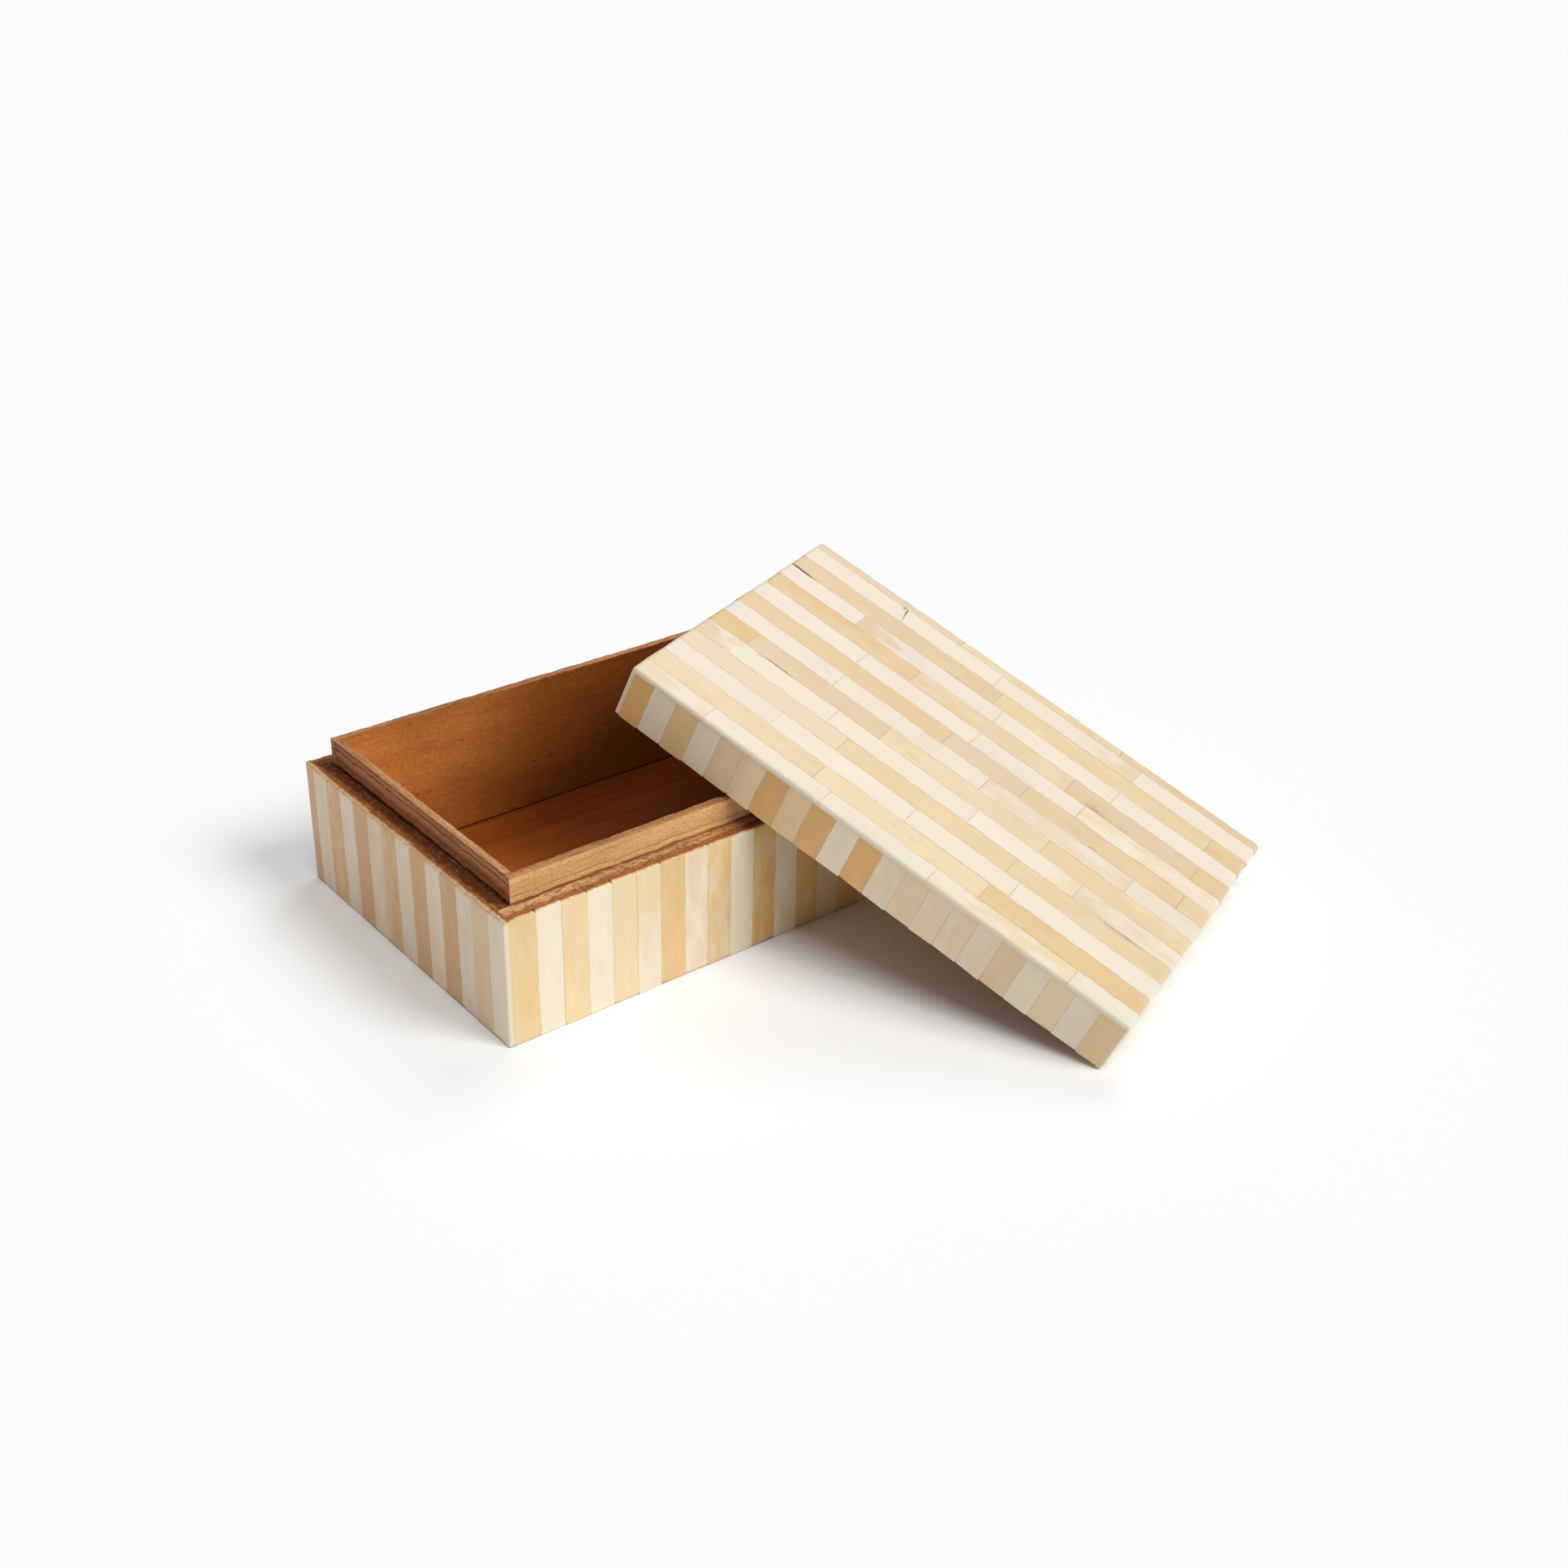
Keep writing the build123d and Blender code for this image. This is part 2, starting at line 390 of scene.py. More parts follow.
class Slab:
    """A strip or board as a mesh. Its best face is a grid that follows its worn outline.

    `eases` are the radii of its rounded low end, high end, low edge and high edge. `edges` and
    `ends` are pairs of functions: how far the long edges wander across, at places along the slab,
    and how far its ends wander along, at places across it. `rings` are depths below the best face
    at which the four side faces are cut. `start` is where the slab starts along its own body.
    """

    def __init__(self, size, eases, edges=STRAIGHT, ends=STRAIGHT, step=STATION,
                 across_step=ACROSS, near=NEAR_EDGE, rings=(), start=0.0):
        self.length, self.width, self.depth = size
        low_end, high_end, low_edge, high_edge = eases
        u_cuts = stations(self.length, low_end, high_end, step, near, start)
        v_cuts = stations(self.width, low_edge, high_edge, across_step, near)
        rows, columns = len(u_cuts), len(v_cuts)
        u, v = (axis.ravel() for axis in np.meshgrid(u_cuts, v_cuts, indexing="ij"))
        drop_u = fall(u, low_end) + fall(self.length - u, high_end)
        drop_v = fall(v, low_edge) + fall(self.width - v, high_edge)
        drop = np.minimum(np.maximum(drop_u, drop_v) * CORNER_FALL, drop_u + drop_v)
        drop = np.minimum(drop, max(eases))

        number = np.arange(rows * columns).reshape(rows, columns)
        loop = [number[:, 0], number[-1, 1:], number[-2::-1, -1], number[0, -2:0:-1]]
        rim = np.concatenate(loop)
        rim_side = np.repeat([0, 1, 2, 3], [len(part) for part in loop])
        quads = [
            np.stack([number[:-1, :-1], number[1:, :-1], number[1:, 1:], number[:-1, 1:]], -1)
        ]
        depths = [*rings, self.depth]
        top = rim
        for ring in range(len(depths)):
            below = rows * columns + ring * len(rim) + np.arange(len(rim))
            quads.append(np.stack([top, below, np.roll(below, -1), np.roll(top, -1)], -1))
            top = below
        self.quads = np.concatenate([part.reshape(-1, 4) for part in quads])
        self.under = below[::-1]

        copies = len(depths)
        self.u = np.concatenate([u, np.tile(u[rim], copies)])
        self.v = np.concatenate([v, np.tile(v[rim], copies)])
        self.below = np.concatenate([drop, np.repeat(depths, len(rim))])
        self.side = np.concatenate([np.full(rows * columns, -1), np.tile(rim_side, copies)])

        share_u, share_v = self.u / self.length, self.v / self.width
        across = edges[0](self.u) * (1 - share_v) + edges[1](self.u) * share_v
        along = ends[0](self.v) * (1 - share_u) + ends[1](self.v) * share_u
        self.points = np.column_stack(
            [self.u + along, self.v + across, self.depth - self.below]
        )

    def edge_distance(self, closed):
        """Distance to the nearest of the closed sides, given as low end, high end, low, high."""
        gaps = (self.u, self.length - self.u, self.v, self.width - self.v)
        kept = [gap for gap, is_closed in zip(gaps, closed) if is_closed]
        return np.min(kept, axis=0) if kept else np.full(len(self.u), np.inf)


def on_each(value, count):
    """A value for every vertex, from one value or from a list of them."""
    value = np.asarray(value, float)
    if value.ndim == 0:
        return np.full(count, value)
    if len(value) == count:
        return value
    return np.tile(value, (count, 1))


# Kinds of mesh attribute, by how many numbers a vertex has
ATTRIBUTES = {1: ("FLOAT", "value"), 3: ("FLOAT_VECTOR", "vector"), 4: ("FLOAT_COLOR", "color")}


class Piece:
    """A mesh gathered from slabs, with the values that its material reads."""

    def __init__(self):
        self.points, self.faces, self.values = [], [], {}
        self.count = 0

    def add(self, slab, facing, start, body, **values):
        """Adds a slab that starts at a place in its facing's own axes."""
        turn, origin = PLACES[body]
        local = (slab.points + start) @ facing.axes.T
        self.points.append(local * MM @ turn.T + origin)
        self.faces += (slab.quads + self.count).tolist()
        self.faces.append((slab.under + self.count).tolist())
        self.count += len(slab.points)
        for name, value in values.items():
            self.values.setdefault(name, []).append(on_each(value, len(slab.points)))

    def make(self, name, node, body, slot, material):
        """The finished object, which stands for a CAD node and rides on its body."""
        mesh = bpy.data.meshes.new(name)
        mesh.from_pydata(np.concatenate(self.points), [], self.faces)
        for label, parts in self.values.items():
            data = np.concatenate(parts)
            kind, field = ATTRIBUTES[data[0].size]
            mesh.attributes.new(label, kind, "POINT").data.foreach_set(field, data.ravel())
        mesh.shade_smooth()
        mesh.set_sharp_from_angle(angle=SHARP_ANGLE)
        mesh.materials.append(material)
        made = bpy.data.objects.new(name, mesh)
        bpy.context.scene.collection.objects.link(made)
        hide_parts(node)
        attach(made, body)
        return made


# ---- bone strips


# How far a strip may differ from its named tone: in all of it, and in its blue only
SHADE_RANGE = (0.975, 1.02)
YELLOWING_RANGE = (0.976, 1.024)

# The cut faces of the strips are this share of a sand tone
CUT_FACE = 0.97

# Grain starts at a random place this many metres into the noise at most
GRAIN_SHIFT = 3


def tones_of(word, random, painted_light):
    """The two tones of a strip, and how far the second has come in at its start and end."""
    mark = next((sign for sign in "~|><" if sign in word), "")
    first, second = word.split(mark) if mark else (word, NEAR_TONE[word])
    if mark == "<":
        first, second = second, first
    shade = random.uniform(*SHADE_RANGE)
    yellowing = random.uniform(*YELLOWING_RANGE)
    colours = []
    for name in (first, second):
        # Painted light: the tones take the lightening, darkening and warmth of the strip's face
        red, green, blue = (part * light_share * shade for part, light_share in zip(PALETTE[name], painted_light))
        colours.append((red, green, blue * yellowing, 1.0))
    return colours[0], colours[1], BLENDS[mark]


def grain_of(slab, random):
    """Where each vertex lies in the grain of its material, in metres."""
    shift = np.array([random.uniform(0, GRAIN_SHIFT) for _ in range(3)])
    return np.column_stack([slab.u, slab.v, slab.below]) * MM + shift


def bone_values(slab, word, closed, random, painted_light):
    """What the bone material reads on one strip. `closed` says which of its sides meet others."""
    tone, tint, (start, end) = tones_of(word, random, painted_light)
    grain = grain_of(slab, random)
    blend = start + (end - start) * slab.u / slab.length
    seam = np.clip(1 - slab.edge_distance(closed) / SEAM_REACH, 0, 1)
    cut_face = slab.side >= 0
    tone = np.where(cut_face[:, None], np.array([*PALETTE["sand"], 1.0]) * CUT_FACE, tone)
    return {"grain": grain, "tone": tone, "tint": tint, "blend": blend, "seam": seam}


def meeting_edge(label, seam, sign, amplitude):
    """A long edge that meets the next strip: both follow the same wandering line.

    `seam` is the number of that line, and `sign` says on which side of it the neighbour lies.
    """
    line = wave(f"{label} seam {seam}", amplitude, SEAM_WAVES)
    places = np.arange(-LONGEST, LONGEST, STATION)
    reach = sign * (CAD_GAP - SHOWN_GAP) / 2
    return lambda along: reach + np.interp(along, places, line(places))


def free_edge(label, sign, inset, amplitude=0.05, lengths=EDGE_WAVES):
    """A long edge on the outside of the object, which wanders only inwards."""
    line = wave(label, amplitude, lengths)
    return lambda along: -sign * (inset + amplitude + line(along))


def cut_end(random, width, sign, inset, corners, slope, nicks=0.0):
    """A strip's end: set in and cut a little off square, with its two corners rounded."""
    set_in = random.uniform(*inset)
    first, second = (random.uniform(*span) for span in corners)
    lean = random.uniform(-slope, slope)
    line = wave(random.random(), nicks, NICK_WAVES) if nicks else straight

    def end(across):
        amount = set_in + abs(lean) / 2 + lean * (across / width - 0.5)
        amount = amount + fall(across, first) + fall(width - across, second)
        return -sign * (amount + nicks + line(across))

    return end


SIDE_TONES = ("honey", "cream")

# The rim's brown in the top ends of the box's strips: its strength and reach on their faces, and on
# their cut ends its strengths at two depths below the face
RIM_SOAK = {
    "front": (0.35, 0.45, (0.0, 0.495), (0.45, 1.0)),
    "other": (0.42, 1.3, (0.9, 1.7), (0.35, 1.0)),
}
STAIN_RING = 1.3


def row_of_strips(body, side):
    """The start, size and tone of each strip of a side, from the left as seen from outside."""
    strips = []
    for tone in SIDE_TONES:
        boxes = boxes_of(f"{body}_bone_{side}_{tone}", body)
        strips += [(*UPRIGHT[side].seat(box), tone) for box in boxes]
    return sorted(strips, key=lambda strip: -strip[0][1])


def upright_edges(body, side, index, count, start):
    """The low and high edges of an upright strip, and whether each makes a corner of the object.

    `across` runs to the left, so the low edge meets the next strip and the high edge the one before.
    """
    label = f"{body} {side}"
    edges, corners = [], []
    for is_end, seam, sign in ((index == count - 1, index + 1, -1), (index == 0, index, 1)):
        is_corner = is_end and side in ("left", "right")
        if is_corner:
            edge = free_edge(f"{label} corner {sign}", sign, BEAD[body])
        elif is_end:
            edge = straight
        else:
            edge = meeting_edge(label, seam, sign, SIDE_WANDER)
        edges.append(lambda along, edge=edge: edge(along + start[0]))
        corners.append(is_corner)
    return edges, corners


def upright_ends(random, width, on_lid):
    """The foot and the head of an upright strip."""
    if on_lid:
        return cut_end(random, width, -1, **LID_FOOT), straight
    foot = cut_end(random, width, -1, **BASE_FOOT)
    head = cut_end(random, width, 1, **BASE_HEAD)
    return foot, head


def upright_strips(body, side, material):
    """All the upright strips of one side, one piece for each tone."""
    on_lid = body == "lid"
    strips = row_of_strips(body, side)
    words = SIDES.get((body, side), "").split()
    pieces = {tone: Piece() for tone in SIDE_TONES}
    head_ease = SEAM_EASE if on_lid else HEAD_EASE[side]
    rings = () if on_lid else (STAIN_RING,)
    for index, (start, size, tone) in enumerate(strips):
        random = Random(f"{body} {side} {index}")
        edges, corners = upright_edges(body, side, index, len(strips), start)
        ends = upright_ends(random, size[1], on_lid)
        edge_eases = [EDGE_EASE if is_corner else SEAM_EASE for is_corner in corners]
        depth = size[2] - BEAD[body] - random.uniform(0, SIDE_SINK)
        slab = Slab((size[0], size[1], depth), (FOOT_EASE, head_ease, *edge_eases), edges, ends,
                    across_step=UPRIGHT_ACROSS, rings=rings, start=start[0])
        closed = (False, on_lid, not corners[0], not corners[1])
        word = words[index] if words else random.choice(HIDDEN_TONES[tone])
        # The strip's tones carry the painted light of its side
        values = bone_values(slab, word, closed, random, FACE_PAINTED_LIGHT[side])
        values["seam"] *= SIDE_SEAM
        values["rim"] = 0.0 if on_lid else rim_stain(slab, side)
        values["stain"] = 0.0
        pieces[tone].add(slab, UPRIGHT[side], start, body, **values)
    for tone, piece in pieces.items():
        node = f"{body}_bone_{side}_{tone}"
        piece.make(f"{node}_strips", node, body, f"bone_{tone}", material)


def rim_stain(slab, side):
    """How far the brown of the rim has soaked into the top end of a strip of the box."""
    strength, reach, end_depths, end_strengths = RIM_SOAK["front" if side == "front" else "other"]
    on_face = strength * np.clip(1 - (slab.length - slab.u) / reach, 0, 1)
    on_end = np.interp(slab.below, end_depths, end_strengths)
    return np.where(slab.side == 1, on_end, on_face)


def course_joint(number, place, sign, width, left_end):
    """The butt joint at one end of a strip in a course: both strips follow the same cut."""
    middle = place + sign * CAD_GAP / 2
    random = Random(f"joint {number} {round(middle * 10)}")
    slope = random.uniform(-JOINT_SLOPE, JOINT_SLOPE)
    line = wave(random.random(), JOINT_WANDER, JOINT_WAVES)
    gape = 0.0
    if number == CRACKED_COURSE and abs(middle - left_end - CRACK_PLACE) < 1:
        slope = -CRACK_SLANT
        gape = CRACK_GAPE
    reach = sign * (CAD_GAP - SHOWN_GAP) / 2

    def end(across):
        share = across / width
        return reach + slope * (share - 0.5) + line(across) - sign * gape * share

    return end


def flawed_edge(edge, start, sign, flaws, left_end):
    """An edge of a course strip with a bite taken out of it at each flaw that lies on it."""

    def line(along):
        total = edge(along + start)
        for flaw in flaws:
            on_this_edge = flaw.across < 0.5 if sign < 0 else flaw.across > 0.5
            if on_this_edge and flaw.bite:
                away = (along + start - left_end - flaw.middle) / flaw.reach
                total = total - sign * flaw.bite * np.exp(-(away**4))
        return total

    return line


def course_edges(number, start, outer, flaws, left_end):
    """The front and back edges of a strip in a course."""
    edges = []
    for seam, is_outer, sign in ((number, outer[2], -1), (number - 1, outer[3], 1)):
        if is_outer:
            edge = free_edge(f"course {sign}", sign, 0, LID_EDGE_WANDER[sign])
        else:
            edge = meeting_edge("course", seam, sign, COURSE_WANDER)
        edges.append(flawed_edge(edge, start, sign, flaws, left_end))
    return edges


def course_ends(number, span, width, outer, random, left_end):
    """The left and right ends of a strip in a course."""
    corners = [LID_CORNER if at_edge else COURSE_CORNER for at_edge in outer[2:]]
    ends = []
    for place, is_outer, sign in ((span[0], outer[0], -1), (span[1], outer[1], 1)):
        if is_outer:
            ends.append(cut_end(random, width, sign, corners=corners, **COURSE_END))
        else:
            ends.append(course_joint(number, place, sign, width, left_end))
    return ends


def course_stain(slab, places, number, flaws):
    """The brown of a course's flaws and of its cracked joint, at places along the course."""
    share = slab.v / slab.width
    stain = np.zeros(len(slab.u))
    for flaw in flaws:
        away = (places - flaw.middle) / flaw.reach
        beside = (share - flaw.across) * slab.width / flaw.spread
        stain = np.maximum(stain, flaw.strength * np.exp(-(away**4)) * np.exp(-(beside**2)))
    if number == CRACKED_COURSE:
        away = np.abs(places - CRACK_PLACE + CRACK_SLANT * (share - 0.5))
        stain = np.maximum(stain, CRACK_STAIN * np.clip(1 - away / CRACK_REACH, 0, 1) * share)
    return stain


def course(number, node, bounds, material):
    """One course of bone strips on top of the lid."""
    (left_end, front_edge), (right_end, back_edge) = bounds
    boxes = sorted(boxes_of(node, "lid"), key=lambda box: box[0][0])
    words = COURSES[number - 1].split()
    tone = node.rsplit("_", 1)[1]
    flaws = [flaw for flaw in FLAWS if flaw.course == number]
    piece = Piece()
    for index, box in enumerate(boxes):
        start, size = COURSE.seat(box)
        random = Random(f"course {number} {index}")
        stop = start + size
        outer = (
            start[0] < left_end + WELD / MM,
            stop[0] > right_end - WELD / MM,
            start[1] < front_edge + WELD / MM,
            stop[1] > back_edge - WELD / MM,
        )
        edges = course_edges(number, start[0], outer, flaws, left_end)
        ends = course_ends(number, (start[0], stop[0]), size[1], outer, random, left_end)
        eases = tuple(COURSE_EASE if is_outer else SEAM_EASE for is_outer in outer)
        depth = size[2] - random.uniform(0, COURSE_SINK)
        slab = Slab((size[0], size[1], depth), eases, edges, ends, start=start[0])
        closed = [not is_outer for is_outer in outer]
        # The strip's tones carry the painted light of the top
        values = bone_values(slab, words[index], closed, random, FACE_PAINTED_LIGHT["top"])
        values["stain"] = course_stain(slab, slab.u + start[0] - left_end, number, flaws)
        values["rim"] = 0.0
        piece.add(slab, COURSE, start, "lid", **values)
    piece.make(f"{node}_strips", node, "lid", f"bone_{tone}", material)


# ---- wooden boards

# Each wood: its main colour and the colour of its grain lines (linear). "dark" and "line" also paint
# shade on the ledges of the back and ends, next to the lip
WOODS = {
    "inside": ((0.60, 0.215, 0.046), (0.51, 0.17, 0.034)),
    "floor": ((0.44, 0.122, 0.019), (0.32, 0.079, 0.011)),
    "honey": ((0.89, 0.55, 0.235), (0.66, 0.34, 0.12)),
    "lower": ((0.92, 0.61, 0.29), (0.72, 0.39, 0.165)),
    "top": ((0.58, 0.28, 0.12), (0.33, 0.125, 0.042)),
    "worn": ((0.68, 0.40, 0.205), (0.42, 0.19, 0.075)),
    "band": ((0.56, 0.24, 0.095), (0.36, 0.13, 0.045)),
    "russet": ((0.50, 0.175, 0.062), (0.29, 0.092, 0.03)),
    "line": ((0.10, 0.036, 0.014), (0.06, 0.02, 0.008)),
    "grey": ((0.80, 0.49, 0.25), (0.44, 0.20, 0.08)),
    "red": ((0.60, 0.21, 0.042), (0.30, 0.084, 0.016)),
    "dark": ((0.20, 0.057, 0.017), (0.12, 0.033, 0.01)),
    "sawn": ((0.42, 0.21, 0.095), (0.29, 0.13, 0.055)),
    "lid": ((0.50, 0.23, 0.085), (0.36, 0.15, 0.05)),
}

# The two kinds of lip: which wood shows at each depth below its top, in millimetres, which wood
# its top is, and the depths and insets of its grooves
PLAIN_LIP = {
    "layers": ((0.6, "top"), (1.0, "honey"), (7.2, "honey"), (7.5, "red"), (7.8, "lower"),
               (9.3, "lower"), (9.8, "red")),
    "top": "top",
    "grooves": ((7.5, 0.06),),
}
WORN_LIP = {
    "layers": ((0.6, "worn"), (1.0, "dark"), (1.6, "band"), (3.0, "band"), (3.4, "line"),
               (3.9, "band"), (7.2, "russet"), (7.5, "dark"), (7.8, "russet"), (9.3, "russet"),
               (9.8, "line")),
    "top": "worn",
    "grooves": ((1.0, 0.30), (3.4, 0.28), (7.5, 0.10)),
}
LIPS = {"front": PLAIN_LIP, "back": PLAIN_LIP, "left": WORN_LIP, "right": WORN_LIP}

# The inside of the liner by depth, dark at its foot, whose last ring is notched in
INNER_LAYERS = ((0, "inside"), (51.5, "inside"), (51.9, "line"))
FOOT_NOTCH = 0.35
DEEP_RINGS = (14.0, 32.0, 51.5, 51.9)
LIP_DEPTHS = {depth for lip in (PLAIN_LIP, WORN_LIP) for depth, _ in lip["layers"]}
LINER_RINGS = sorted(LIP_DEPTHS | set(DEEP_RINGS))

# How far the layers drift up and down along the lip: the drift, its share at each depth, and its
# wavelengths. Then the same of the depth of grooves, and of the lip's outer and inner edges.
DRIFT = 0.6
DRIFT_SHARES = ((0.55, 0.0), (2.5, 1.0), (10.0, 1.0), (14.0, 0.0))
DRIFT_WAVES = (5, 13, 40)
GROOVE_DRIFT = 0.4
GROOVE_WAVES = (8, 20, 45)
LIP_OUT = (0.16, (4, 9, 31))
LIP_IN = (0.20, (4, 9, 40))

# How far faces sink, and how rough they are, in millimetres: the liner's outside, inside and top
FACE_SINK, FACE_LUMPS = 0.06, 0.10
INNER_SINK, INNER_LUMPS = 0.03, 0.06
TOP_SINK, TOP_RIDGES, TOP_LUMPS, TOP_GRIT = 0.16, 0.26, 0.16, 0.22

# The tops of the walls, where the outer part is torn deeper, and the borders of their colours
LEDGE_SINK, LEDGE_LUMPS = 0.20, 0.46
TORN_WIDTH, TORN_SINK, TORN_LUMPS = 2.2, 0.12, 0.5
BORDER_WANDER, BORDER_FRAY = 1.1, 0.7
FRONT_LEDGE = ((0, "red"), (1.0, "red"), (1.9, "grey"), (4.0, "grey"))
# On the back and the ends the ledge turns dark and then black towards the lip: partly the wood's own
# dark stain, partly painted shade where the lip shades the ledge
SHADED_LEDGE = ((0, "red"), (1.3, "dark"), (3.4, "dark"), (4.3, "line"))

# The plain boards, and the rings round their edges as shares of their thickness
BOARD_BOW = 0.12
BOARD_LUMP = 14.0
RING_SHARES = (0.3, 0.65)

# Rounded edges of boards, and the steps along and across them
LINER_EASES = (0.05, 0.05, 0.5, 0.5)
WALL_EASES = (0.05, 0.05, 0.2, 0.05)
RAIL_EASES = (0.05, 0.05, 0.15, 0.4)
BOARD_EASES = (0.05, 0.05, 0.05, 0.05)
LINER_STEP = 1.5
WALL_STEP = 1.25
FINE_ACROSS = 0.5
RAIL_STEP = 2.5
BOARD_STEP = 4.0

# How worn each face is, from 0 to 1
TOP_WEAR = 1.0
LIP_WEAR = 0.6
INNER_WEAR = 0.08
BOARD_WEAR = 0.05

# Painted shade on the inside: how much of its colour the inside keeps, at places along the box and
# at heights above its foot. It is darkest low down and at the end that the lid covers, where the
# shade falls. The powers for red, green and blue make it redder there.
SHADE_PAINT_ALONG = ((-75.0, 1.15), (-40.0, 1.05), (-10.0, 0.6), (30.0, 0.42))
SHADE_PAINT_UP = ((6.0, 0.8), (50.0, 1.05))
SHADE_PAINT_POWERS = (1.0, 1.34, 1.75)


def shades(places, stops):
    """Main and grain colours at places along a list of (place, wood) stops."""
    at = [place for place, _ in stops]
    pair = []
    for which in (0, 1):
        table = np.array([WOODS[wood][which] for _, wood in stops])
        channels = [np.interp(places, at, table[:, channel]) for channel in range(3)]
        pair.append(np.column_stack([*channels, np.ones(len(places))]))
    return pair


def paint_inside_shade(colours, chosen, slab, start, facing):
    """Paints shade on the chosen vertices of an inside face: darker low down and towards the end that
    the lid covers.
    """
    points = (slab.points + start) @ facing.axes.T
    unshaded = np.interp(points[:, 0], *zip(*SHADE_PAINT_ALONG)) * np.interp(points[:, 2], *zip(*SHADE_PAINT_UP))
    for colour in colours:
        colour[chosen, :3] *= unshaded[chosen, None] ** np.array(SHADE_PAINT_POWERS)


def sink(slab, chosen, amount):
    """Lowers the chosen vertices of the best face by an amount for each vertex."""
    slab.points[chosen, 2] -= amount[chosen].clip(0)


def push(slab, side, amount):
    """Moves the rings of a long side face, 0 or 2, inwards by an amount for each vertex."""
    sign = 1 if side == 0 else -1
    chosen = slab.side == side
    slab.points[chosen, 1] += sign * amount[chosen]


def make_board(node, slab, facing, start, body, slot, material, colours, wear):
    """The object of a board, from its slab and its main and grain colours."""
    tone, tint = colours
    grain = grain_of(slab, Random(node))
    piece = Piece()
    piece.add(slab, facing, start, body, grain=grain, tone=tone, tint=tint, wear=wear)
    piece.make(f"{node}_board", node, body, slot, material)


def liner_slab(node, size, grooves):
    """The shape of a liner board: lumpy, with a worn top, and layers that drift along its lip."""
    edges = (
        free_edge(f"{node} out", -1, 0, *LIP_OUT),
        free_edge(f"{node} in", 1, 0, *LIP_IN),
    )
    slab = Slab(size, LINER_EASES, edges, step=LINER_STEP, across_step=FINE_ACROSS, near=0,
                rings=LINER_RINGS)
    lumps = rough(np.column_stack([slab.u, slab.v * 5, slab.below * 3]), 4.0, node)
    outside = FACE_SINK + FACE_LUMPS * lumps
    for depth, inset in grooves:
        line = wave(f"{node} groove {depth}", GROOVE_DRIFT, GROOVE_WAVES)
        in_groove = np.abs(slab.below - depth) < 0.05
        outside = outside + inset * (0.8 + line(slab.u)) * in_groove
    notch = FOOT_NOTCH * (slab.below > size[2] - 0.05)
    drift = wave(f"{node} drift", DRIFT, DRIFT_WAVES)(slab.u)
    drift = drift * np.interp(slab.below, *zip(*DRIFT_SHARES))
    slab.points[:, 2] += np.where(slab.side >= 0, drift, 0)
    push(slab, 0, outside)
    push(slab, 2, INNER_SINK + INNER_LUMPS * lumps + notch)
    ridges = rough(np.column_stack([slab.u * 0.25, slab.v * 5, slab.below]), 3.0, f"{node} top")
    grit = rough(np.column_stack([slab.u, slab.v, slab.below]), 1.1, f"{node} grit")
    rugged = TOP_SINK + TOP_RIDGES * ridges + TOP_LUMPS * lumps + TOP_GRIT * grit
    sink(slab, slab.side == -1, rugged)
    return slab


def liner(side, material):
    """A board of the liner, whose top 10 mm stand proud of the box as its lip."""
    node = f"liner_{side}"
    facing = RIM[side]
    lip = LIPS[side]
    (box,) = boxes_of(node, "base")
    start, size = facing.seat(box)
    slab = liner_slab(node, size, lip["grooves"])
    is_top, is_inner = slab.side == -1, slab.side == 2
    is_end = (slab.side == 1) | (slab.side == 3)
    tone, tint = shades(slab.below, lip["layers"])
    top = shades(slab.v, ((0, lip["top"]),))
    inner = shades(slab.below, INNER_LAYERS)
    # Painted shade on the inside face, darker low down and towards the end under the lid
    paint_inside_shade(inner, is_inner, slab, start, facing)
    end = shades(slab.below, WORN_LIP["layers"])
    for source, chosen in ((top, is_top), (inner, is_inner), (end, is_end)):
        tone[chosen], tint[chosen] = source[0][chosen], source[1][chosen]
    wear = np.where(is_top, TOP_WEAR, np.where(is_inner, INNER_WEAR, LIP_WEAR))
    make_board(node, slab, facing, start, "base", "liner_wood", material, (tone, tint), wear)


def wall(side, material):
    """A wall board of the box: only its rough top edge shows, as a ledge round the lip."""
    node = f"base_wall_{side}"
    facing = RIM[side]
    (box,) = boxes_of(node, "base")
    start, size = facing.seat(box)
    slab = Slab(size, WALL_EASES, step=WALL_STEP, across_step=FINE_ACROSS, near=0)
    places = np.column_stack([slab.u, slab.v * 2, slab.below])
    lumps = rough(places, 2.2, node) + 0.5 * rough(places, 0.9, f"{node} fine")
    is_top = slab.side == -1
    sink(slab, is_top, LEDGE_SINK + LEDGE_LUMPS * lumps)
    torn = TORN_SINK + TORN_LUMPS * rough(places, 1.3, f"{node} torn")
    sink(slab, is_top & (slab.v < TORN_WIDTH), torn)
    border = BORDER_WANDER * rough(places, 3.5, f"{node} border")
    border = border + BORDER_FRAY * rough(places, 1.2, f"{node} fray")
    if side == "front":
        stops = (*FRONT_LEDGE, (size[1], "sawn"))
    else:
        # The wood's dark stain, with painted shade next to the lip
        stops = SHADED_LEDGE
    colours = shades(slab.v + border, stops)
    make_board(node, slab, facing, start, "base", "carcass_wood", material, colours, TOP_WEAR)


def plain_board(node, facing, body, wood, slot, eases, material, step=BOARD_STEP):
    """A board with one wood all over, its best face a little uneven."""
    (box,) = boxes_of(node, body)
    start, size = facing.seat(box)
    rings = [size[2] * share for share in RING_SHARES]
    slab = Slab(size, eases, step=step, across_step=step, near=0, rings=rings)
    lumps = rough(np.column_stack([slab.u * 0.3, slab.v, slab.below]), BOARD_LUMP, node)
    is_top = slab.side == -1
    sink(slab, is_top, BOARD_BOW * (0.5 + lumps))
    colours = shades(slab.u, ((0, wood),))
    # Painted shade on the top of the box's floor, darker towards the end under the lid
    if wood == "floor":
        paint_inside_shade(colours, is_top, slab, start, facing)
    make_board(node, slab, facing, start, body, slot, material, colours, BOARD_WEAR)


# ---- materials

